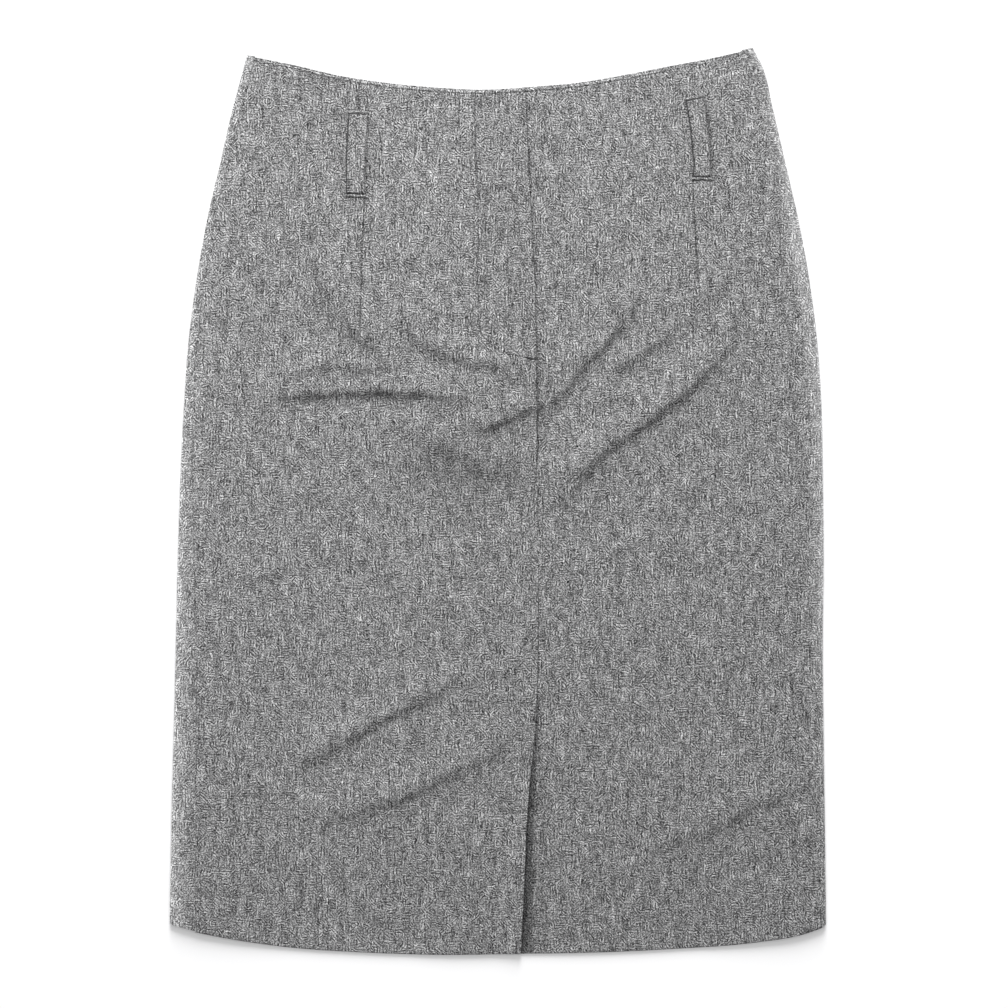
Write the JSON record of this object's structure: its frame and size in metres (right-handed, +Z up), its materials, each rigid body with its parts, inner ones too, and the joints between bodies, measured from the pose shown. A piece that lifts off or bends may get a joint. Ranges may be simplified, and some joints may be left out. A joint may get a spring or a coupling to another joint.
{
  "type": "a-line skirt",
  "caption": "Knee-length wool skirt laid flat, front up, with a fly front, a vent at the centre front and belt loops over the front darts.",
  "frame": {"origin": "centre of the bounding box's bottom: on the surface that the back panel lies on, halfway across and halfway from hem to waist", "axes": "+Y from hem to waist, +X to the right as the laid front is seen from above, +Z up out of the surface"},
  "size_m": [0.4564, 0.6311, 0.0084],
  "materials": {
    "skirt_cloth": "grey melange wool tweed, matt, short nap",
    "loop_cloth": "the skirt's grey melange wool, folded into a strap",
    "zip_tape": "dark grey woven tape"
  },
  "bodies": {
    "root": {"front_left": "skirt_cloth", "front_right": "skirt_cloth", "back": "skirt_cloth", "belt_loop_left": "loop_cloth", "belt_loop_right": "loop_cloth", "zip": "zip_tape"}
  },
  "joints": []
}
